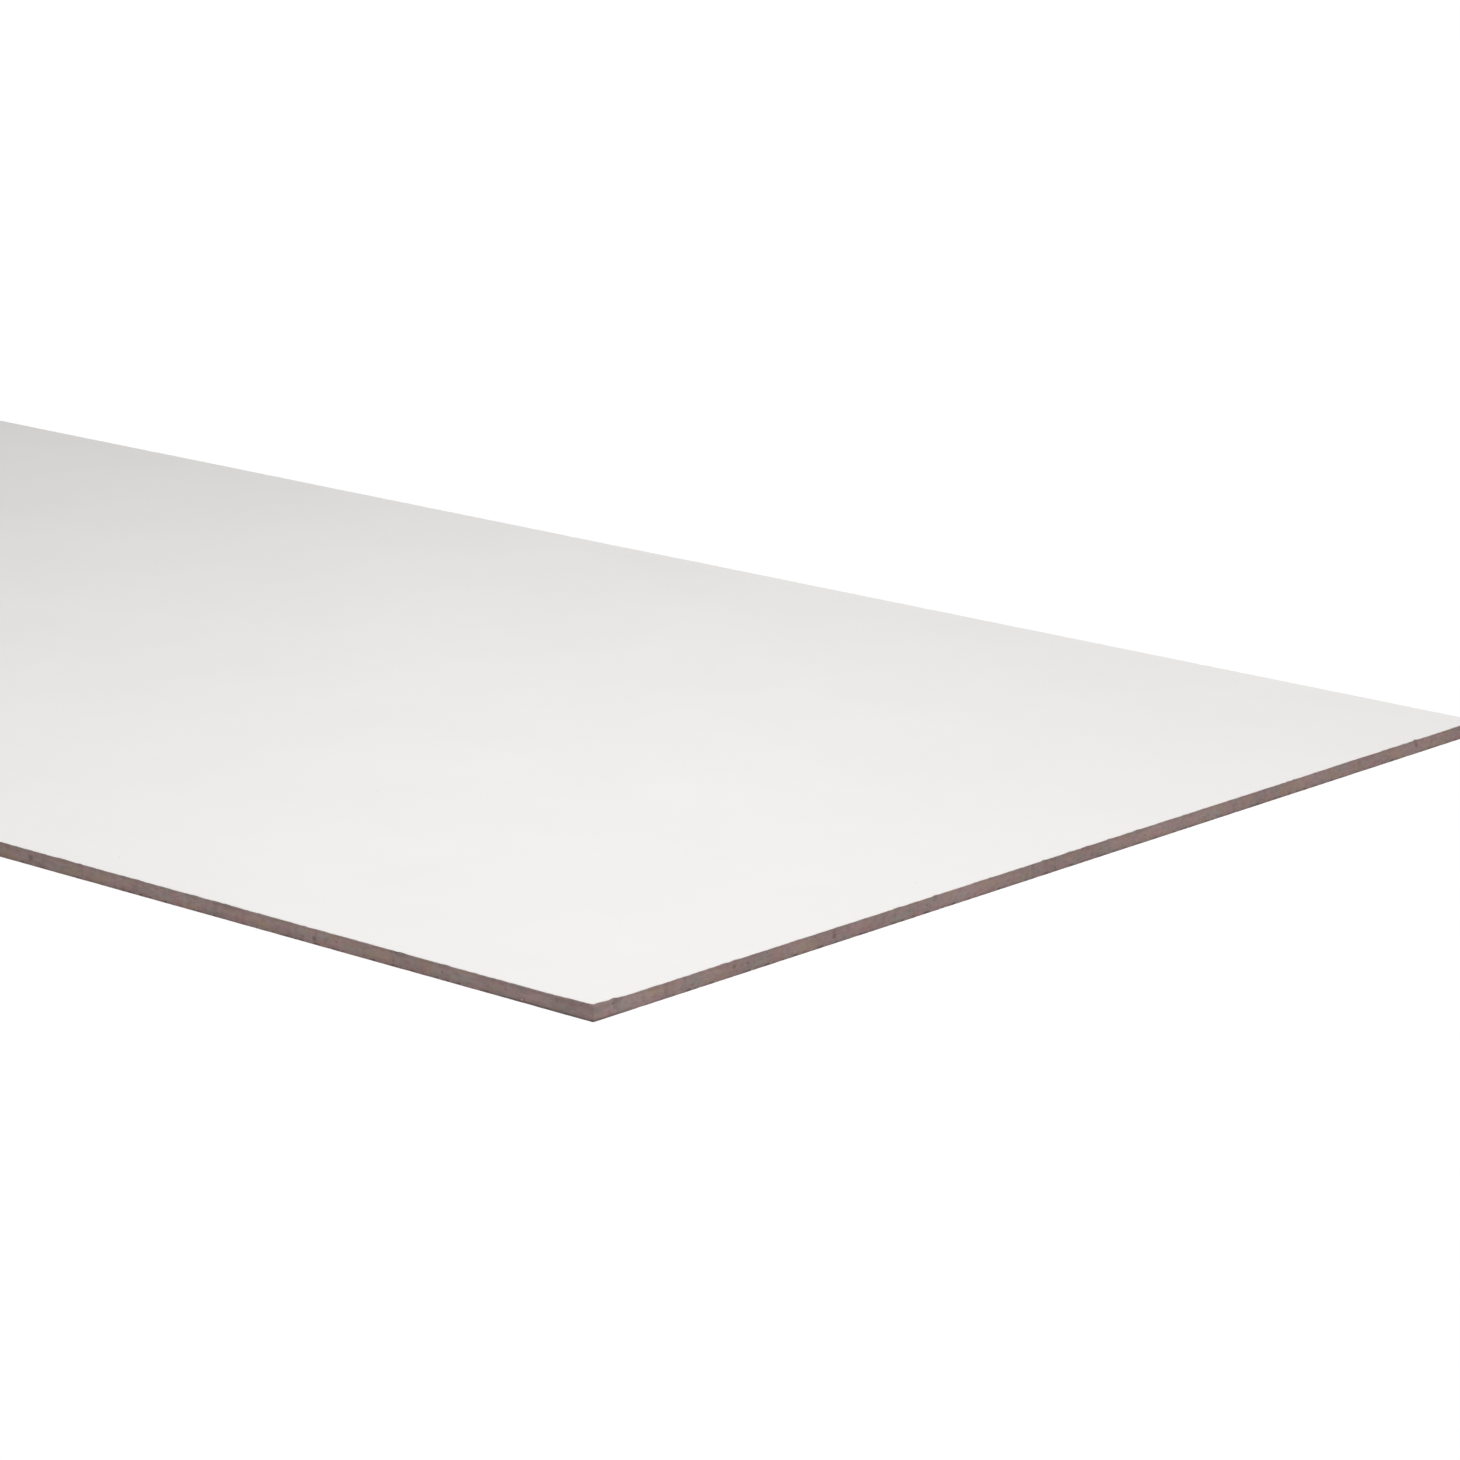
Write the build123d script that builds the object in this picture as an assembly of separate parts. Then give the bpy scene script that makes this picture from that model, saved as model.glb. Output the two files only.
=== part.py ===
"""White-faced hardboard panel, 12 by 24 inches of 1/8 inch board.

Wood fibre pressed into one hard sheet, lacquered white on its smooth face and sawn to size
with square edges. The panel lies flat with its bare back down: X runs along its length, Y
along its width, and the origin is the middle of the back. All lengths are in millimetres.
"""

import os

from build123d import *

# Sawn size of the sheet
PANEL_LENGTH = 609.6
PANEL_WIDTH = 304.8
PANEL_THICKNESS = 3.2

# Wear that sawing and handling leave round the edges
CORNER_RADIUS = 0.6
FACE_ARRIS_BEVEL = 0.2
BACK_ARRIS_RADIUS = 0.3


def sawn_sheet():
    """The sheet as it leaves the saw, with its four upright corners a little blunted."""
    outline = RectangleRounded(PANEL_LENGTH, PANEL_WIDTH, CORNER_RADIUS)
    return extrude(outline, amount=PANEL_THICKNESS)


def eased_panel():
    """The sheet with its arris broken along the lacquered face and rubbed round along the back."""
    sheet = sawn_sheet()
    face_arris = sheet.edges().group_by(Axis.Z)[-1]
    sheet = chamfer(face_arris, FACE_ARRIS_BEVEL)
    back_arris = sheet.edges().group_by(Axis.Z)[0]
    return fillet(back_arris, BACK_ARRIS_RADIUS)


os.makedirs("parts", exist_ok=True)
export_step(eased_panel(), "parts/hardboard_panel.step")
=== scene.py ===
import math
import random

import bpy
from mathutils import Matrix, Vector, noise


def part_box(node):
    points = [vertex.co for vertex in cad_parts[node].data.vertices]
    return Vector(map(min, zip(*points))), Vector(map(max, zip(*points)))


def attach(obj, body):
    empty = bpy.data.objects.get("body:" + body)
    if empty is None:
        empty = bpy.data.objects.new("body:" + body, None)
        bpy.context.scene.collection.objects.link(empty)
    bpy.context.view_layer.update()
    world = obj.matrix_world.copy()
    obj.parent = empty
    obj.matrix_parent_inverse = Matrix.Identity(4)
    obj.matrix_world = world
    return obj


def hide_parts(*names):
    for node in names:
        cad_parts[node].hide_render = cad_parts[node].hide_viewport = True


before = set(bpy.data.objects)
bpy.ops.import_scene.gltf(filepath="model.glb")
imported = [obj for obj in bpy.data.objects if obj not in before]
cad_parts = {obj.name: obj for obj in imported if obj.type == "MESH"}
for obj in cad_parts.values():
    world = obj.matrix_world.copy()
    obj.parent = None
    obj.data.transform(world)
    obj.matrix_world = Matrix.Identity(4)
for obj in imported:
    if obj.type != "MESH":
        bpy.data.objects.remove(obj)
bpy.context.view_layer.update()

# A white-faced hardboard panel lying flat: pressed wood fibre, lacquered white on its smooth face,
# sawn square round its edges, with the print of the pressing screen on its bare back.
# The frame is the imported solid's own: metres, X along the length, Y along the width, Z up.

PANEL_NODE = "hardboard_panel"
PANEL_PIECE = "white_faced_hardboard_sheet"

# Size of the sheet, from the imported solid
PANEL_LOW, PANEL_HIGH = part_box(PANEL_NODE)
HALF_LENGTH = (PANEL_HIGH.x - PANEL_LOW.x) / 2
HALF_WIDTH = (PANEL_HIGH.y - PANEL_LOW.y) / 2
FACE_LEVEL = PANEL_HIGH.z
BACK_LEVEL = PANEL_LOW.z
THICKNESS = FACE_LEVEL - BACK_LEVEL
NEAR_CORNER = Vector((HALF_LENGTH, -HALF_WIDTH, FACE_LEVEL))

# Grid of the flat inside of the face and the back. Towards the edge each cell is split twice over.
GRID_COLUMNS = 64
GRID_ROWS = 32
SPLIT = 4
STEPS_PER_CELL = SPLIT * SPLIT
GRID_INSET = 0.020
CELL_RING_INSET = 0.012
SPLIT_RING_INSET = 0.006
FLAT_RING_INSETS = (0.003, 0.0018)
SHARP_ANGLE = math.radians(35)

# The four sides, anticlockwise from the front left corner: start, direction, cells and outward angle
SIDES = (
    (Vector((-1, -1)), Vector((1, 0)), GRID_COLUMNS, -90),
    (Vector((1, -1)), Vector((0, 1)), GRID_ROWS, 0),
    (Vector((1, 1)), Vector((-1, 0)), GRID_COLUMNS, 90),
    (Vector((-1, 1)), Vector((0, -1)), GRID_ROWS, 180),
)
# A side runs from corner share -1 to 1, and the outline turns this many degrees at each corner
SIDE_SPAN = 2
QUARTER_TURN = 90

# Octaves of the noise in the mesh: how fast they weaken, how much finer each is, and how many there are
WORN_OCTAVES = (0.8, 2.0, 3)
FIBRE_OCTAVES = (0.7, 2.0, 3)

# Lacquer film and its ragged rim
CORNER_RADIUS = 0.00035
FILM_THICKNESS = 0.00009
RIM_SETBACK = 0.00014
RIM_LEAST = 0.00003
RIM_RAGGED = 0.00013
RIM_RAGGED_PITCH = 0.0014
RIM_WANDER = 0.00012
RIM_WANDER_PITCH = 0.045
RIM_MARGIN = 0.0003
SHOULDER_DROP = 0.00016
SHOULDER_SLOPE = 2.0
SHOULDER_STEPS = 2

# Sawn edge between the film and the back
SAWN_LEVELS = 9
FIBRE_RELIEF = 0.00004
FIBRE_RELIEF_MIDDLE = 0.5
FIBRE_PITCH = 0.0011
FIBRE_LAYERING = 3.0
SAW_SCORE = 0.00005
SAW_SCORE_PITCH = 0.0034
ARRIS_RADIUS = 0.00005
ARRIS_STEPS = 4
ARRIS_WEAR = 0.00010
ARRIS_WEAR_PITCH = 0.0032

# Knocks in the rim that the photo shows: the edge, the way from the near corner along it,
# half the knock's length and its depth into the face
PHOTO_KNOCKS = (
    ("short", 0.0, 0.0075, 0.00048),
    ("short", 0.0013, 0.0014, 0.00026),
    ("short", 0.0056, 0.0007, 0.00038),
    ("short", 0.0409, 0.0010, 0.00025),
    ("short", 0.2797, 0.0007, 0.00040),
    ("long", 0.0140, 0.0140, 0.00018),
    ("long", 0.0995, 0.0012, 0.00020),
    ("long", 0.1442, 0.0018, 0.00020),
)
# Small knocks all round, which any handled panel has
SMALL_KNOCKS = 110
SMALL_KNOCK_SEED = 7
SMALL_KNOCK_HALF_LENGTHS = (0.0003, 0.0011)
SMALL_KNOCK_DEPTHS = (0.00006, 0.00024)
# How many half lengths a knock reaches from its middle, and how steeply it runs out
KNOCK_REACH = 2
KNOCK_STEEPNESS = 3

# Finishes, in the order of the panel's material slots
LACQUER, SAWN, BARE_BACK = range(3)

# Layout of the panel's own texture map: the face, the back above it, then rows of edge strip
MAP_NAME = "OFBake"
MAP_MIDDLE = 0.5
MAP_WIDTH = 0.99
MAP_FLAT_HEIGHT = 0.40
MAP_FACE_MIDDLE = 0.205
MAP_BACK_MIDDLE = 0.615
MAP_EDGE_ROWS = 8
MAP_EDGE_START = 0.825
MAP_EDGE_PITCH = 0.0215
MAP_EDGE_HEIGHT = 0.0195
# Shares of a strip's height for the film, the shoulder under it, the back arris and the sawn fibre between
MAP_FILM_SHARE = 0.10
MAP_SHOULDER_SHARE = 0.22
MAP_ARRIS_SHARE = 0.06
MAP_SAWN_SHARE = 1 - MAP_FILM_SHARE - MAP_SHOULDER_SHARE - MAP_ARRIS_SHARE

# Noise in the finishes: octaves of finer detail, and the strength of each beside the one before it.
# The range of a noise, further down, is where it starts to show and where it shows in full.
FLECK_DETAIL = (1, 0.5)
SOFT_DETAIL = (2, 0.5)
PATCH_DETAIL = (3, 0.6)
FIBRE_DETAIL = (4, 0.6)
DASH_DETAIL = (4, 0.7)
CLOUD_DETAIL = (6, 0.7)

# Pressed fibre. It lies flat, so its patches are longer along the board than through it.
FIBRE_LAYERS = (1.0, 1.0, 2.2)
PATCH_RANGE = (0.36, 0.64)
DARK_FIBRE_RANGE = (0.52, 0.25)
DARK_FIBRE_SHARE = 0.36
PALE_FIBRE_RANGE = (0.52, 0.75)
PALE_FIBRE_SHARE = 0.30
FLECK_FINENESS = 1.1
FLECK_RANGE = (0.68, 0.77)
# The fibre's relief over which its roughness runs from the first of its two values to the second
ROUGHNESS_RANGE = (0.2, 0.8)

# Loose specks are full in this share of their radius
SPECK_CORE_SHARE = 0.5

# Lacquer on the face
LACQUER_WHITE = (0.890, 0.871, 0.850)
LACQUER_SHADE = (0.876, 0.857, 0.836)
LACQUER_SPECK = (0.62, 0.60, 0.57)
LACQUER_CLOUDS_PER_METRE = 22.0
LACQUER_CLOUD_RANGE = (0.30, 0.70)
LACQUER_ROUGHNESS = (0.38, 0.44)
LACQUER_PEEL_PER_METRE = 750.0
LACQUER_PEEL_HEIGHT = 0.0000025
LACQUER_SPECKS_PER_METRE = 75.0
LACQUER_SPECK_SIZE = 0.017
LACQUER_SPECK_SHARE = 0.08
# Specks in the lacquer that the photo shows: the ways from the near corner along the length and the width
PHOTO_SPECKS = ((0.1370, 0.0091), (0.1356, 0.0833), (0.0083, 0.1078), (0.1743, 0.0819), (0.2552, 0.2397))
PHOTO_SPECK_RADIUS = 0.00035

# Bare fibre of the sawn edge
SAWN_RED = (0.500, 0.309, 0.306)
SAWN_GREY = (0.405, 0.337, 0.312)
SAWN_GOLD = (0.480, 0.339, 0.238)
SAWN_PALE = (0.560, 0.440, 0.400)
SAWN_DARK = (0.130, 0.092, 0.088)
SAWN_DUST = (0.740, 0.660, 0.590)
SAWN_PATCHES_PER_METRE = 190.0
SAWN_FIBRES_PER_METRE = 620.0
SAWN_BARK_SHARE = 0.6
SAWN_GOLD_PER_METRE = 170.0
SAWN_GOLD_RANGE = (0.50, 0.72)
SAWN_GOLD_SHARE = 0.8
SAWN_SHADE_PER_METRE = 60.0
SAWN_SHADE_RANGE = (0.35, 0.65)
SAWN_SHADE_SHARE = 0.26
SAWN_ROUGHNESS = (0.90, 0.70)
SAWN_BUMP = 0.00003
# Saw marks and the dashes of the foot line run straight up the edge, so height doesn't change them
UPRIGHT = (1.0, 1.0, 0.0)
SAW_MARKS_PER_METRE = 520.0
SAW_MARK_RANGE = (0.58, 0.72)
SAW_MARK_SHARE = 0.17
# Painted shade on the sawn edge: darker towards the top, where more light falls, and darker where wear has
# left the fibre facing up into the lamps: the rise of the surface's normal at which that starts and is full
TOP_SHADE_HEIGHTS = (FACE_LEVEL - 0.30 * THICKNESS, FACE_LEVEL)
TOP_SHADE_SHARE = 0.12
UPWARD_SHADE_RISE = (0.05, 0.50)
UPWARD_SHADE_SHARE = 0.60
# Painted shade low on the sawn edge, darker towards the floor, and a dark broken line of painted shadow
# along its foot
LOW_SHADE_HEIGHTS = (BACK_LEVEL + 0.40 * THICKNESS, BACK_LEVEL)
LOW_SHADE_SHARE = 0.15
FOOT_LINE_HEIGHTS = (BACK_LEVEL + 0.00065, BACK_LEVEL + 0.00030)
FOOT_LINE_SHARE = 0.92
FOOT_LINE_BREAKS_PER_METRE = 380.0
FOOT_LINE_BREAK_RANGE = (0.46, 0.64)
# Where the photo shows that line whole: the edge and the way from the near corner along it, and how far
# from there the line is broken up again and how far it is whole
PHOTO_FOOT_LINE = ("long", 0.010)
PHOTO_FOOT_LINE_REACH = (0.017, 0.011)
PHOTO_FOOT_LINE_SHARE = 0.7
# Pale sawdust caught low on the sawn edge
SAWDUST_CELLS_PER_METRE = 420.0
SAWDUST_SIZE = 0.10
SAWDUST_SHARE = 0.50
SAWDUST_HEIGHTS = (BACK_LEVEL + 0.30 * THICKNESS, BACK_LEVEL + 0.15 * THICKNESS)
# Dark marks on the sawn edge that the photo shows: the edge, the way from the near corner along it,
# the height above the back and the radius
PHOTO_MARKS = (
    ("short", 0.0012, 0.0026, 0.00085),
    ("long", 0.0002, 0.0026, 0.00080),
    ("short", 0.0407, 0.0021, 0.00070),
    ("short", 0.0712, 0.0016, 0.00085),
    ("short", 0.2797, 0.0020, 0.00085),
    ("long", 0.0726, 0.0012, 0.00070),
    ("long", 0.1535, 0.0016, 0.00085),
)
PHOTO_MARK_CORE_SHARE = 0.5
PHOTO_MARK_SHARE = 0.55

# Bare fibre of the back, and the print of the screen in it
BACK_RED = (0.215, 0.135, 0.092)
BACK_GREY = (0.185, 0.128, 0.088)
BACK_PALE = (0.300, 0.215, 0.150)
BACK_DARK = (0.085, 0.052, 0.038)
BACK_DUST = (0.450, 0.370, 0.300)
BACK_PATCHES_PER_METRE = 45.0
BACK_FIBRES_PER_METRE = 800.0
BACK_FIBRE_RELIEF_SHARE = 0.3
BACK_BARK_SHARE = 0.6
BACK_ROUGHNESS = (0.85, 0.65)
BACK_DUST_CELLS_PER_METRE = 160.0
BACK_DUST_SIZE = 0.04
BACK_DUST_SHARE = 0.10
SCREEN_PITCH = 0.0015
SCREEN_DEPTH = 0.00012
SCREEN_CROWN_POWER = 0.5
# The print's height at which the painted shade in its hollows starts and is full
SCREEN_SHADE_RANGE = (0.6, 0.0)
SCREEN_SHADE_SHARE = 0.55

# Camera at the photo's viewing angle
CAMERA_FROM_NEAR_CORNER = Vector((0.61489, -0.69855, 0.29017))
VIEW_TURN = math.radians(39.860)
VIEW_TILT = math.radians(14.274)
VIEW_ROLL = math.radians(1.219)
LENS = 129.13
SENSOR = 36.0

# White studio: the places and aims of the lamps are measured from the near corner of the face
FLOOR_HALF_SIZE = 20.0
FLOOR_COLOUR = (0.8, 0.8, 0.8)
FLOOR_SHADOW_COLOUR = (0.15, 0.15, 0.15)
FLOOR_GLOW_REACH = (0.25, 0.75)
FLOOR_GLOW_LEVELS = (0.89, 0.99)
WORLD_COLOUR = (1.0, 1.0, 1.0)
WORLD_LEVEL = 1.0
FILL_LEVEL = 0.18
KEY_PLACE = Vector((0.05, 0.04, 0.84))
KEY_AIM = Vector((-0.02, 0.05, 0.0))
KEY_SIZE = 0.5
KEY_LEVEL = 0.863
SIDE_PLACE = Vector((0.90, -0.05, 0.30))
SIDE_AIM = Vector((0.0, 0.05, 0.0))
SIDE_SIZE = 0.6
SIDE_LEVEL = 0.030
FAR_PLACE = Vector((-1.40, 1.05, 0.12))
FAR_AIM = Vector((-0.50, 0.30, 0.0))
FAR_SIZE = 0.6
FAR_LEVEL = 0.16
SHEEN_PLACE = Vector((-0.79, 0.90, 0.32))
SHEEN_AIM = Vector((-0.12, 0.14, 0.0))
SHEEN_SIZE = 0.25
SHEEN_LEVEL = 0.005


def outline_stations():
    """Stations round the outline: each a corner share, from -1 to 1 both ways, and an outward direction."""
    stations = []
    for start, along, cells, facing in SIDES:
        steps = cells * STEPS_PER_CELL
        outward = Vector((math.cos(math.radians(facing)), math.sin(math.radians(facing))))
        for step in range(steps):
            stations.append((start + along * (SIDE_SPAN * step / steps), outward))
        for step in range(STEPS_PER_CELL):
            turn = math.radians(facing + QUARTER_TURN * step / STEPS_PER_CELL)
            stations.append((start + along * SIDE_SPAN, Vector((math.cos(turn), math.sin(turn)))))
    return stations


def station_point(station, inset, height):
    """A station's point on the outline moved in by inset, at a height."""
    share, outward = station
    x = share.x * (HALF_LENGTH - inset - CORNER_RADIUS) + outward.x * CORNER_RADIUS
    y = share.y * (HALF_WIDTH - inset - CORNER_RADIUS) + outward.y * CORNER_RADIUS
    return Vector((x, y, height))


def along_edge(edge, way):
    """The point of the outline at a way from the near corner along one of the two edges that meet there."""
    directions = {"short": Vector((0, 1)), "long": Vector((-1, 0))}
    return NEAR_CORNER.to_2d() + directions[edge] * way


def knocks_in_rim():
    """Each knock as its point on the outline, half its length and its depth."""
    knocks = []
    for edge, way, half_length, depth in PHOTO_KNOCKS:
        knocks.append((along_edge(edge, way), half_length, depth))
    draw = random.Random(SMALL_KNOCK_SEED)
    cells_of_sides = [cells for start, along, cells, facing in SIDES]
    for _ in range(SMALL_KNOCKS):
        start, along = draw.choices(SIDES, weights=cells_of_sides)[0][:2]
        share = start + along * draw.uniform(0, SIDE_SPAN)
        place = Vector((share.x * HALF_LENGTH, share.y * HALF_WIDTH))
        knocks.append((place, draw.uniform(*SMALL_KNOCK_HALF_LENGTHS), draw.uniform(*SMALL_KNOCK_DEPTHS)))
    return knocks


def rim_setback(place, knocks):
    """How far the lacquer's rim stands in from the sawn edge at a point of the outline."""
    ragged = noise.fractal(place / RIM_RAGGED_PITCH, *WORN_OCTAVES)
    wander = noise.noise(place / RIM_WANDER_PITCH)
    setback = RIM_SETBACK + RIM_RAGGED * max(-1.0, ragged) + RIM_WANDER * wander
    for centre, half_length, depth in knocks:
        away = (place.to_2d() - centre).length / half_length
        if away < KNOCK_REACH:
            setback += depth * math.exp(-away ** KNOCK_STEEPNESS)
    return max(RIM_LEAST, setback)


def sawn_inset(place):
    """How far saw scores and torn fibre take the edge in from true at a point of it."""
    grain = Vector((place.x, place.y, place.z * FIBRE_LAYERING)) / FIBRE_PITCH
    fibre = FIBRE_RELIEF * (FIBRE_RELIEF_MIDDLE + noise.fractal(grain, *FIBRE_OCTAVES))
    score = SAW_SCORE * noise.noise(Vector((place.x, place.y, 0)) / SAW_SCORE_PITCH)
    return max(0.0, fibre) + max(0.0, score)


def edge_profile(station, knocks):
    """The panel's edge at one station: insets and heights from the face, over the rim, to the back."""
    place = station_point(station, 0, FACE_LEVEL)
    setback = rim_setback(place, knocks)
    film_foot = FACE_LEVEL - FILM_THICKNESS
    sawn_top = film_foot - SHOULDER_DROP - SHOULDER_SLOPE * setback
    wear = ARRIS_WEAR * max(0.0, noise.fractal(place / ARRIS_WEAR_PITCH, *WORN_OCTAVES))
    radius = ARRIS_RADIUS + wear
    sawn_foot = BACK_LEVEL + radius
    profile = [(inset, FACE_LEVEL) for inset in FLAT_RING_INSETS]
    profile.append((setback + RIM_MARGIN, FACE_LEVEL))
    profile.append((setback, FACE_LEVEL))
    profile.append((setback, film_foot))
    for step in range(1, SHOULDER_STEPS):
        down = step / SHOULDER_STEPS
        profile.append((setback * (1 - down), film_foot + (sawn_top - film_foot) * down))
    for level in range(SAWN_LEVELS):
        height = sawn_top + (sawn_foot - sawn_top) * level / (SAWN_LEVELS - 1)
        profile.append((sawn_inset(station_point(station, 0, height)), height))
    foot_inset = profile[-1][0]
    for step in range(1, ARRIS_STEPS + 1):
        turn = math.radians(QUARTER_TURN * step / ARRIS_STEPS)
        inset = foot_inset + radius * (1 - math.cos(turn))
        profile.append((inset, BACK_LEVEL + radius * (1 - math.sin(turn))))
    profile.extend((inset, BACK_LEVEL) for inset in reversed(FLAT_RING_INSETS))
    return profile


class ClosedMesh:
    """Gathers a closed mesh's corners, and its faces with their finish and their places on the map."""

    def __init__(self):
        self.corners = []
        self.faces = []
        self.finishes = []
        self.map_places = []

    def ring(self, points):
        """Adds corners and returns their numbers."""
        first = len(self.corners)
        self.corners.extend(points)
        return range(first, len(self.corners))

    def add(self, face, finish, places):
        """Adds a face."""
        self.faces.append(face)
        self.finishes.append(finish)
        self.map_places.append(places)

    def add_flat(self, face, finish):
        """Adds a face of the flat face or back, which lie on the map as they lie on the panel."""
        middle = MAP_FACE_MIDDLE if finish == LACQUER else MAP_BACK_MIDDLE
        places = []
        for corner in face:
            point = self.corners[corner]
            u = MAP_MIDDLE + MAP_WIDTH * point.x / (2 * HALF_LENGTH)
            places.append((u, middle + MAP_FLAT_HEIGHT * point.y / (2 * HALF_WIDTH)))
        self.add(face, finish, places)


def edge_strip_levels():
    """Heights on an edge strip of the map, from 1 down to 0, between which the faces down the edge lie."""
    sawn_faces = SAWN_LEVELS - 1
    shares = [MAP_FILM_SHARE]
    shares.extend([MAP_SHOULDER_SHARE / SHOULDER_STEPS] * SHOULDER_STEPS)
    shares.extend([MAP_SAWN_SHARE / sawn_faces] * sawn_faces)
    shares.extend([MAP_ARRIS_SHARE / ARRIS_STEPS] * ARRIS_STEPS)
    levels = [1.0]
    for share in shares:
        levels.append(levels[-1] - share)
    return levels


def edge_strip_places(step, steps, top_level, foot_level):
    """Places on the map of one face of the edge: its step round the outline and its levels on the strip."""
    row_steps = steps // MAP_EDGE_ROWS
    row = step // row_steps
    left = MAP_WIDTH * (step - row * row_steps) / row_steps + (1 - MAP_WIDTH) / 2
    right = left + MAP_WIDTH / row_steps
    base = MAP_EDGE_START + MAP_EDGE_PITCH * row
    top = base + MAP_EDGE_HEIGHT * top_level
    foot = base + MAP_EDGE_HEIGHT * foot_level
    return [(left, top), (left, foot), (right, foot), (right, top)]


def add_edge(mesh, stations):
    """Adds the panel's whole edge and returns its innermost rings on the face and on the back."""
    knocks = knocks_in_rim()
    profiles = [edge_profile(station, knocks) for station in stations]
    count = len(profiles[0])
    rings = []
    for down in range(count):
        points = [station_point(s, *profile[down]) for s, profile in zip(stations, profiles)]
        rings.append(mesh.ring(points))
    film_strip = len(FLAT_RING_INSETS) + 1
    back_strip = count - 1 - len(FLAT_RING_INSETS)
    levels = edge_strip_levels()
    for down in range(count - 1):
        upper, lower = rings[down], rings[down + 1]
        for step in range(len(stations)):
            after = (step + 1) % len(stations)
            face = (upper[step], lower[step], lower[after], upper[after])
            if down < film_strip:
                mesh.add_flat(face, LACQUER)
            elif down >= back_strip:
                mesh.add_flat(face, BARE_BACK)
            else:
                finish = LACQUER if down == film_strip else SAWN
                level = down - film_strip
                places = edge_strip_places(step, len(stations), levels[level], levels[level + 1])
                mesh.add(face, finish, places)
    return rings[0], rings[-1]


def add_split_ring(mesh, outer, inset, height, stations, finish):
    """Adds a ring with one corner for every SPLIT of the outer ring's, and the faces between the two."""
    inner = mesh.ring([station_point(station, inset, height) for station in stations])
    for step in range(len(inner)):
        after = (step + 1) % len(inner)
        fan = [outer[(step * SPLIT + part) % len(outer)] for part in range(SPLIT + 1)]
        face = (*fan, inner[after], inner[step])
        mesh.add_flat(face if finish == LACQUER else face[::-1], finish)
    return inner


def add_grid(mesh, ring, height, finish):
    """Closes a ring of one corner per cell with the grid of the flat inside."""
    columns = []
    for column in range(GRID_COLUMNS + 1):
        x = (HALF_LENGTH - GRID_INSET) * (2 * column / GRID_COLUMNS - 1)
        ys = [(HALF_WIDTH - GRID_INSET) * (2 * row / GRID_ROWS - 1) for row in range(GRID_ROWS + 1)]
        columns.append(mesh.ring([Vector((x, y, height)) for y in ys]))
    faces = []
    for column in range(GRID_COLUMNS):
        for row in range(GRID_ROWS):
            near, far = columns[column], columns[column + 1]
            faces.append((near[row], far[row], far[row + 1], near[row + 1]))
    borders = (
        [line[0] for line in columns],
        list(columns[-1]),
        [line[-1] for line in reversed(columns)],
        list(reversed(columns[0])),
    )
    place = 0
    for border in borders:
        for step in range(len(border) - 1):
            faces.append((ring[place + step], ring[place + step + 1], border[step + 1], border[step]))
        place += len(border) - 1
        faces.append((ring[place], ring[(place + 1) % len(ring)], border[-1]))
        place += 1
    for face in faces:
        mesh.add_flat(face if finish == LACQUER else face[::-1], finish)


def link_to_scene(name, data):
    """A new object with this data, in the scene."""
    made = bpy.data.objects.new(name, data)
    bpy.context.scene.collection.objects.link(made)
    return made


def panel_object(finishes):
    """The whole panel as one closed mesh that wears the finishes."""
    stations = outline_stations()
    mesh = ClosedMesh()
    face_ring, back_ring = add_edge(mesh, stations)
    for ring, height, finish in ((face_ring, FACE_LEVEL, LACQUER), (back_ring, BACK_LEVEL, BARE_BACK)):
        ring = add_split_ring(mesh, ring, SPLIT_RING_INSET, height, stations[::SPLIT], finish)
        ring = add_split_ring(mesh, ring, CELL_RING_INSET, height, stations[::STEPS_PER_CELL], finish)
        add_grid(mesh, ring, height, finish)
    data = bpy.data.meshes.new(PANEL_PIECE)
    data.from_pydata(mesh.corners, [], mesh.faces)
    layer = data.uv_layers.new(name=MAP_NAME)
    for polygon, finish, places in zip(data.polygons, mesh.finishes, mesh.map_places):
        polygon.material_index = finish
        polygon.use_smooth = True
        for loop, place in zip(polygon.loop_indices, places):
            layer.uv[loop].vector = place
    data.set_sharp_from_angle(angle=SHARP_ANGLE)
    for finish in finishes:
        data.materials.append(finish)
    return link_to_scene(PANEL_PIECE, data)


def add_node(tree, kind, inputs=None, **settings):
    """A new shader node with its settings, and its inputs each fed by a socket or set to a value."""
    made = tree.nodes.new("ShaderNode" + kind)
    for name, value in settings.items():
        setattr(made, name, value)
    for name, value in (inputs or {}).items():
        if isinstance(value, bpy.types.NodeSocket):
            tree.links.new(value, made.inputs[name])
        else:
            made.inputs[name].default_value = value
    return made


def noise_value(tree, vector, per_metre, detail):
    """Smooth noise from 0 to 1."""
    octaves, strength = detail
    inputs = {"Vector": vector, "Scale": per_metre, "Detail": octaves, "Roughness": strength}
    return add_node(tree, "TexNoise", inputs).outputs[0]


def stretched(tree, value, reach, levels=(0.0, 1.0)):
    """A value with its reach stretched over the levels, and held there."""
    start, full = reach
    low_level, high_level = levels
    inputs = {
        "Value": value,
        "From Min": start,
        "From Max": full,
        "To Min": low_level,
        "To Max": high_level,
    }
    return add_node(tree, "MapRange", inputs).outputs[0]


def worked(tree, operation, first, second=0.0):
    """The result of a sum on one or two values."""
    return add_node(tree, "Math", {0: first, 1: second}, operation=operation).outputs[0]


def mixed(tree, share, first, second):
    """A colour mixed from two, with this share of the second."""
    inputs = {"Factor": share, 6: first, 7: second}
    return add_node(tree, "Mix", inputs, data_type="RGBA").outputs[2]


def scaled_sides(tree, vector, factors):
    """A place with each of its sides scaled by its own factor."""
    return add_node(tree, "VectorMath", {0: vector, 1: factors}, operation="MULTIPLY").outputs[0]


def sides_of(tree, vector):
    """A place or direction as its X, Y and Z."""
    return add_node(tree, "SeparateXYZ", {0: vector}).outputs


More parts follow.
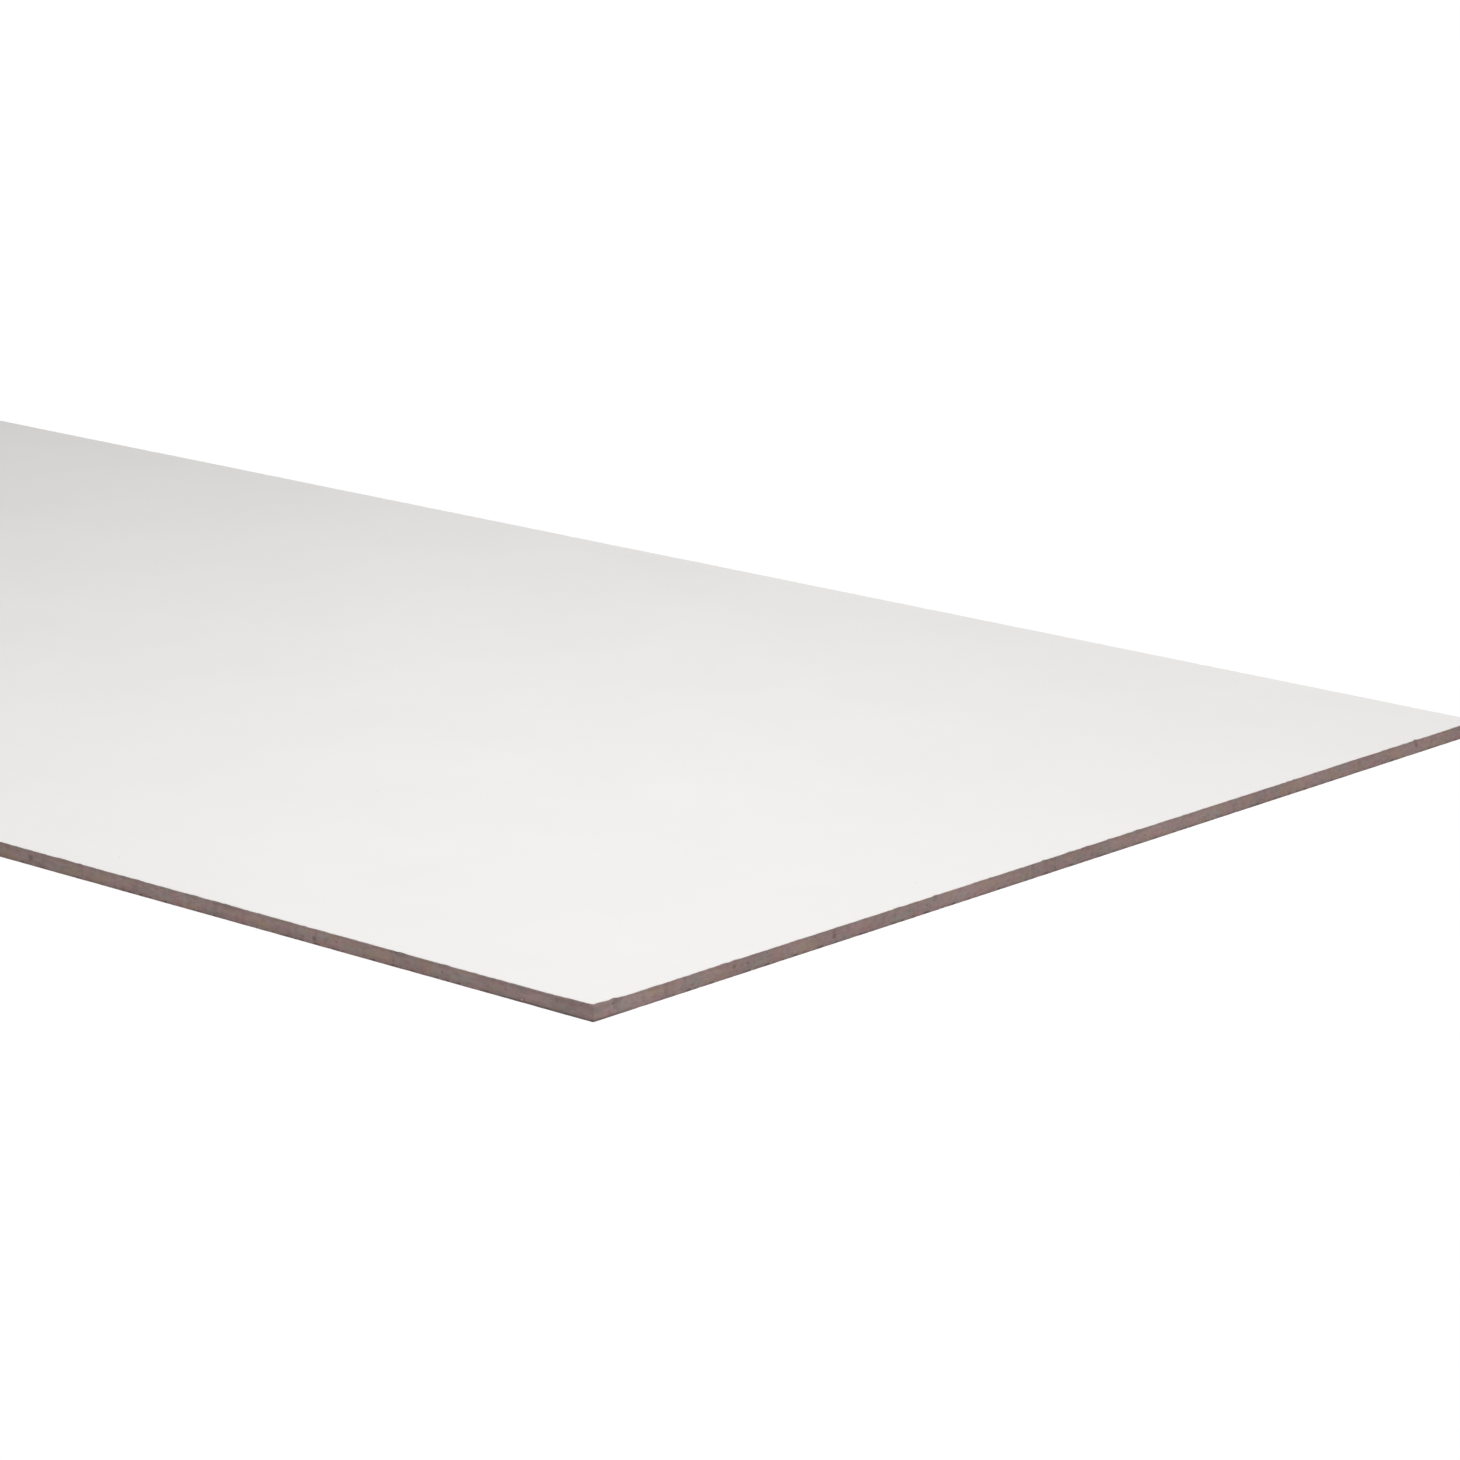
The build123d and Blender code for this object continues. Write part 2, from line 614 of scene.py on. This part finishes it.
def distance_from(tree, place, centre):
    """How far a place is from a fixed point."""
    return add_node(tree, "VectorMath", {0: place, 1: centre}, operation="DISTANCE").outputs["Value"]


def bump(tree, height, distance):
    """The surface's normal with a relief of this height on it."""
    return add_node(tree, "Bump", {"Height": height, "Distance": distance}).outputs[0]


def rgba(colour):
    """A colour as a node takes it."""
    return (*colour, 1.0)


def new_group(name, inputs, outputs):
    """An empty node group with named sockets, and its sockets as seen from inside."""
    group = bpy.data.node_groups.new(name, "ShaderNodeTree")
    for socket, kind in inputs:
        group.interface.new_socket(name=socket, in_out="INPUT", socket_type="NodeSocket" + kind)
    for socket, kind in outputs:
        group.interface.new_socket(name=socket, in_out="OUTPUT", socket_type="NodeSocket" + kind)
    entry = group.nodes.new("NodeGroupInput")
    leave = group.nodes.new("NodeGroupOutput")
    return group, entry.outputs, leave.inputs


def pressed_fibre_group():
    """Pressed wood fibre: patches of two browns, pale and dark fibre, and dark flecks of bark."""
    group, given, made = new_group(
        "pressed_fibre",
        (("Vector", "Vector"), ("Red Brown", "Color"), ("Grey Brown", "Color"), ("Pale Fibre", "Color"),
         ("Bark", "Color"), ("Patches per Metre", "Float"), ("Fibres per Metre", "Float"),
         ("Bark Share", "Float")),
        (("Colour", "Color"), ("Relief", "Float")),
    )
    layers = scaled_sides(group, given["Vector"], FIBRE_LAYERS)
    patches = noise_value(group, layers, given["Patches per Metre"], PATCH_DETAIL)
    browns = mixed(group, stretched(group, patches, PATCH_RANGE), given["Red Brown"], given["Grey Brown"])
    fibre = noise_value(group, layers, given["Fibres per Metre"], FIBRE_DETAIL)
    dark = stretched(group, fibre, DARK_FIBRE_RANGE, (0.0, DARK_FIBRE_SHARE))
    pale = stretched(group, fibre, PALE_FIBRE_RANGE, (0.0, PALE_FIBRE_SHARE))
    fibred = mixed(group, pale, mixed(group, dark, browns, given["Bark"]), given["Pale Fibre"])
    flecks_per_metre = worked(group, "MULTIPLY", given["Fibres per Metre"], FLECK_FINENESS)
    fleck = stretched(group, noise_value(group, layers, flecks_per_metre, FLECK_DETAIL), FLECK_RANGE)
    flecks = worked(group, "MULTIPLY", fleck, given["Bark Share"])
    group.links.new(mixed(group, flecks, fibred, given["Bark"]), made["Colour"])
    group.links.new(worked(group, "SUBTRACT", fibre, flecks), made["Relief"])
    return group


def loose_specks_group():
    """Specks scattered one to a cell, in a share of the cells."""
    group, given, made = new_group(
        "loose_specks",
        (("Vector", "Vector"), ("Cells per Metre", "Float"), ("Speck Size", "Float"), ("Share", "Float")),
        (("Mask", "Float"),),
    )
    cells = add_node(group, "TexVoronoi", {"Vector": given["Vector"], "Scale": given["Cells per Metre"]})
    core = worked(group, "MULTIPLY", given["Speck Size"], SPECK_CORE_SHARE)
    speck = stretched(group, cells.outputs["Distance"], (given["Speck Size"], core))
    draw = add_node(group, "SeparateColor", {"Color": cells.outputs["Color"]}).outputs[0]
    kept = worked(group, "LESS_THAN", draw, given["Share"])
    group.links.new(worked(group, "MULTIPLY", speck, kept), made["Mask"])
    return group


def specks_mask(tree, specks, place, cells_per_metre, size, share):
    """A mask of loose specks."""
    inputs = {"Vector": place, "Cells per Metre": cells_per_metre, "Speck Size": size, "Share": share}
    return add_node(tree, "Group", inputs, node_tree=specks).outputs["Mask"]


def new_finish(name):
    """A new material, its node tree, its shader's sockets and the panel's own coordinates in metres."""
    material = bpy.data.materials.new(name)
    material.use_nodes = True
    tree = material.node_tree
    place = add_node(tree, "TexCoord").outputs["Object"]
    return material, tree, tree.nodes["Principled BSDF"].inputs, place


def satin_white_lacquer(specks):
    """Warm white lacquer with a satin sheen, faint clouds, orange peel and a few trapped specks."""
    material, tree, shader, place = new_finish("satin_white_lacquer")
    clouds = noise_value(tree, place, LACQUER_CLOUDS_PER_METRE, CLOUD_DETAIL)
    clouds = stretched(tree, clouds, LACQUER_CLOUD_RANGE)
    white = mixed(tree, clouds, rgba(LACQUER_WHITE), rgba(LACQUER_SHADE))
    mask = specks_mask(
        tree, specks, place, LACQUER_SPECKS_PER_METRE, LACQUER_SPECK_SIZE, LACQUER_SPECK_SHARE
    )
    for along, across in PHOTO_SPECKS:
        away = distance_from(tree, place, NEAR_CORNER + Vector((-along, across, 0)))
        mask = worked(tree, "MAXIMUM", mask, stretched(tree, away, (PHOTO_SPECK_RADIUS, 0.0)))
    tree.links.new(mixed(tree, mask, white, rgba(LACQUER_SPECK)), shader["Base Color"])
    tree.links.new(stretched(tree, clouds, (0.0, 1.0), LACQUER_ROUGHNESS), shader["Roughness"])
    peel = noise_value(tree, place, LACQUER_PEEL_PER_METRE, SOFT_DETAIL)
    tree.links.new(bump(tree, peel, LACQUER_PEEL_HEIGHT), shader["Normal"])
    return material


def mottled_fibre(tree, place, colour):
    """The fibre's colour with golden patches and wide darker shades."""
    layers = scaled_sides(tree, place, FIBRE_LAYERS)
    gold = noise_value(tree, layers, SAWN_GOLD_PER_METRE, PATCH_DETAIL)
    golds = stretched(tree, gold, SAWN_GOLD_RANGE, (0.0, SAWN_GOLD_SHARE))
    shade = noise_value(tree, place, SAWN_SHADE_PER_METRE, SOFT_DETAIL)
    shades = stretched(tree, shade, SAWN_SHADE_RANGE, (0.0, SAWN_SHADE_SHARE))
    return mixed(tree, shades, mixed(tree, golds, colour, rgba(SAWN_GOLD)), rgba(SAWN_DARK))


def painted_foot_shade(tree, place, height):
    # The dark line is painted shadow where the edge meets the floor
    """A mask of the dark line along the edge's foot: in dashes, and whole where the photo shows it so."""
    dashes = noise_value(tree, scaled_sides(tree, place, UPRIGHT), FOOT_LINE_BREAKS_PER_METRE, DASH_DETAIL)
    away = distance_from(tree, place, along_edge(*PHOTO_FOOT_LINE).to_3d())
    whole = stretched(tree, away, PHOTO_FOOT_LINE_REACH, (0.0, PHOTO_FOOT_LINE_SHARE))
    breaks = worked(tree, "MAXIMUM", stretched(tree, dashes, FOOT_LINE_BREAK_RANGE), whole)
    line = stretched(tree, height, FOOT_LINE_HEIGHTS, (0.0, FOOT_LINE_SHARE))
    return worked(tree, "MULTIPLY", line, breaks)


def dark_marks(tree, place):
    """A mask for each dark mark on the sawn edge."""
    masks = []
    for edge, way, rise, radius in PHOTO_MARKS:
        centre = along_edge(edge, way).to_3d() + Vector((0, 0, BACK_LEVEL + rise))
        reach = (radius, radius * PHOTO_MARK_CORE_SHARE)
        masks.append(stretched(tree, distance_from(tree, place, centre), reach, (0.0, PHOTO_MARK_SHARE)))
    return masks


def edge_shade_and_marks(tree, place, height):
    """A mask of all that darkens the sawn edge: painted shade at its top, where it faces up and at its
    foot, the painted shadow of the foot line, and single marks.
    """
    # Painted shade where the fibre faces up into the lamps
    facing = add_node(tree, "NewGeometry").outputs["Normal"]
    upward_shade = stretched(tree, sides_of(tree, facing)["Z"], UPWARD_SHADE_RISE, (0.0, UPWARD_SHADE_SHARE))
    # Painted shade, darker towards the foot of the edge
    low_shade = stretched(tree, height, LOW_SHADE_HEIGHTS, (0.0, LOW_SHADE_SHARE))
    # Painted shade, darker towards the top of the edge
    darks = stretched(tree, height, TOP_SHADE_HEIGHTS, (0.0, TOP_SHADE_SHARE))
    for dark in (upward_shade, low_shade, painted_foot_shade(tree, place, height), *dark_marks(tree, place)):
        darks = worked(tree, "MAXIMUM", darks, dark)
    return darks


def sawn_fibre_edge(fibre, specks):
    """The sawn edge: mottled pressed fibre with saw marks and dark marks, painted shade at its top, on
    faces turned up and at its foot with a painted shadow line, and pale sawdust low on it.
    """
    material, tree, shader, place = new_finish("sawn_fibre_edge")
    height = sides_of(tree, place)["Z"]
    board = add_node(tree, "Group", {
        "Vector": place,
        "Red Brown": rgba(SAWN_RED),
        "Grey Brown": rgba(SAWN_GREY),
        "Pale Fibre": rgba(SAWN_PALE),
        "Bark": rgba(SAWN_DARK),
        "Patches per Metre": SAWN_PATCHES_PER_METRE,
        "Fibres per Metre": SAWN_FIBRES_PER_METRE,
        "Bark Share": SAWN_BARK_SHARE,
    }, node_tree=fibre).outputs
    mottled = mottled_fibre(tree, place, board["Colour"])
    marks = noise_value(tree, scaled_sides(tree, place, UPRIGHT), SAW_MARKS_PER_METRE, SOFT_DETAIL)
    marks = stretched(tree, marks, SAW_MARK_RANGE)
    marked = mixed(tree, worked(tree, "MULTIPLY", marks, SAW_MARK_SHARE), mottled, rgba(SAWN_DARK))
    # Painted shade and shadow, with the dark marks, darken the fibre here
    shaded_and_marked = mixed(tree, edge_shade_and_marks(tree, place, height), marked, rgba(SAWN_DARK))
    dust = specks_mask(tree, specks, place, SAWDUST_CELLS_PER_METRE, SAWDUST_SIZE, SAWDUST_SHARE)
    low_dust = worked(tree, "MULTIPLY", dust, stretched(tree, height, SAWDUST_HEIGHTS))
    tree.links.new(mixed(tree, low_dust, shaded_and_marked, rgba(SAWN_DUST)), shader["Base Color"])
    tree.links.new(stretched(tree, board["Relief"], ROUGHNESS_RANGE, SAWN_ROUGHNESS), shader["Roughness"])
    relief = worked(tree, "SUBTRACT", board["Relief"], marks)
    tree.links.new(bump(tree, relief, SAWN_BUMP), shader["Normal"])
    return material


def screen_print(tree, place):
    """The height, from 0 to 1, of the small pillows that the meshes of the woven screen leave."""
    sides = sides_of(tree, place)
    waves = []
    for side in (sides["X"], sides["Y"]):
        turns = worked(tree, "MULTIPLY", side, math.pi / SCREEN_PITCH)
        waves.append(worked(tree, "SINE", turns))
    pillow = worked(tree, "MULTIPLY", *waves)
    return worked(tree, "POWER", worked(tree, "ABSOLUTE", pillow), SCREEN_CROWN_POWER)


def screened_bare_back(fibre, specks):
    """The bare back: darker fibre with the print of the woven screen that it was pressed on, and painted
    shade in the print's hollows.
    """
    material, tree, shader, place = new_finish("screened_bare_back")
    board = add_node(tree, "Group", {
        "Vector": place,
        "Red Brown": rgba(BACK_RED),
        "Grey Brown": rgba(BACK_GREY),
        "Pale Fibre": rgba(BACK_PALE),
        "Bark": rgba(BACK_DARK),
        "Patches per Metre": BACK_PATCHES_PER_METRE,
        "Fibres per Metre": BACK_FIBRES_PER_METRE,
        "Bark Share": BACK_BARK_SHARE,
    }, node_tree=fibre).outputs
    pillows = screen_print(tree, place)
    # Painted shade in the hollows of the print
    shade = stretched(tree, pillows, SCREEN_SHADE_RANGE, (0.0, SCREEN_SHADE_SHARE))
    hollow_shaded = mixed(tree, shade, board["Colour"], rgba(BACK_DARK))
    dust = specks_mask(tree, specks, place, BACK_DUST_CELLS_PER_METRE, BACK_DUST_SIZE, BACK_DUST_SHARE)
    tree.links.new(mixed(tree, dust, hollow_shaded, rgba(BACK_DUST)), shader["Base Color"])
    tree.links.new(stretched(tree, board["Relief"], ROUGHNESS_RANGE, BACK_ROUGHNESS), shader["Roughness"])
    fibre_relief = worked(tree, "MULTIPLY", board["Relief"], BACK_FIBRE_RELIEF_SHARE)
    relief = worked(tree, "ADD", pillows, fibre_relief)
    tree.links.new(bump(tree, relief, SCREEN_DEPTH), shader["Normal"])
    return material


def photo_camera():
    """The camera, turned, tilted and rolled as the photo's was."""
    data = bpy.data.cameras.new("photo_camera")
    data.lens = LENS
    data.sensor_width = SENSOR
    camera = link_to_scene("photo_camera", data)
    camera.matrix_world = (
        Matrix.Translation(NEAR_CORNER + CAMERA_FROM_NEAR_CORNER)
        @ Matrix.Rotation(VIEW_TURN, 4, "Z")
        @ Matrix.Rotation(math.pi / 2 - VIEW_TILT, 4, "X")
        @ Matrix.Rotation(VIEW_ROLL, 4, "Z")
    )
    bpy.context.scene.camera = camera


def seen_directly(tree):
    """A mask that is 1 for rays from the camera, and for those that it follows into gloss or glass."""
    path = add_node(tree, "LightPath").outputs
    mask = path["Is Camera Ray"]
    for kind in ("Is Glossy Ray", "Is Transmission Ray"):
        mask = worked(tree, "MAXIMUM", mask, path[kind])
    return mask


def studio_floor():
    """A wide pale floor that looks white and still takes the panel's shadow."""
    half = FLOOR_HALF_SIZE
    corners = [(x, y, BACK_LEVEL) for x, y in ((-half, -half), (half, -half), (half, half), (-half, half))]
    data = bpy.data.meshes.new("studio_floor")
    data.from_pydata(corners, [], [(0, 1, 2, 3)])
    material = bpy.data.materials.new("white_studio_floor")
    material.use_nodes = True
    tree = material.node_tree
    tree.nodes.remove(tree.nodes["Principled BSDF"])
    lit = add_node(tree, "BsdfDiffuse", {"Color": rgba(FLOOR_COLOUR)}).outputs[0]
    shadowed = add_node(tree, "BsdfDiffuse", {"Color": rgba(FLOOR_SHADOW_COLOUR)}).outputs[0]
    away = distance_from(tree, add_node(tree, "TexCoord").outputs["Object"], NEAR_CORNER)
    strength = stretched(tree, away, FLOOR_GLOW_REACH, FLOOR_GLOW_LEVELS)
    glow = add_node(tree, "Emission", {"Strength": strength}).outputs[0]
    seen = add_node(tree, "AddShader", {0: shadowed, 1: glow}).outputs[0]
    either = add_node(tree, "MixShader", {0: seen_directly(tree), 1: lit, 2: seen}).outputs[0]
    tree.links.new(either, tree.nodes["Material Output"].inputs["Surface"])
    data.materials.append(material)
    return link_to_scene("studio_floor", data)


def studio_world():
    """White to look at, and a soft even fill for the light that it gives."""
    world = bpy.data.worlds.new("studio")
    world.use_nodes = True
    tree = world.node_tree
    background = tree.nodes["Background"].inputs
    background["Color"].default_value = rgba(WORLD_COLOUR)
    strength = stretched(tree, seen_directly(tree), (0.0, 1.0), (FILL_LEVEL, WORLD_LEVEL))
    tree.links.new(strength, background["Strength"])
    bpy.context.scene.world = world


def softbox(name, place, aim, size, level):
    """A square soft lamp. Level 1 lights a white surface that faces it at its aim to white."""
    data = bpy.data.lights.new(name, "AREA")
    data.size = size
    data.energy = level * (math.pi * (aim - place).length) ** 2
    lamp = link_to_scene(name, data)
    lamp.location = NEAR_CORNER + place
    lamp.rotation_euler = (aim - place).to_track_quat("-Z", "Y").to_euler()
    lamp.visible_camera = False
    return lamp


fibre_group = pressed_fibre_group()
speck_group = loose_specks_group()
panel = panel_object([
    satin_white_lacquer(speck_group),
    sawn_fibre_edge(fibre_group, speck_group),
    screened_bare_back(fibre_group, speck_group),
])
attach(panel, "root")
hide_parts(PANEL_NODE)

photo_camera()
studio_floor()
studio_world()
softbox("key_softbox", KEY_PLACE, KEY_AIM, KEY_SIZE, KEY_LEVEL)
softbox("side_softbox", SIDE_PLACE, SIDE_AIM, SIDE_SIZE, SIDE_LEVEL)
# The far lamp lifts the far end of the face and leaves no reflection in the lacquer
far_lamp = softbox("far_softbox", FAR_PLACE, FAR_AIM, FAR_SIZE, FAR_LEVEL)
far_lamp.visible_glossy = False
softbox("sheen_softbox", SHEEN_PLACE, SHEEN_AIM, SHEEN_SIZE, SHEEN_LEVEL)
bpy.context.scene.view_settings.view_transform = "Standard"
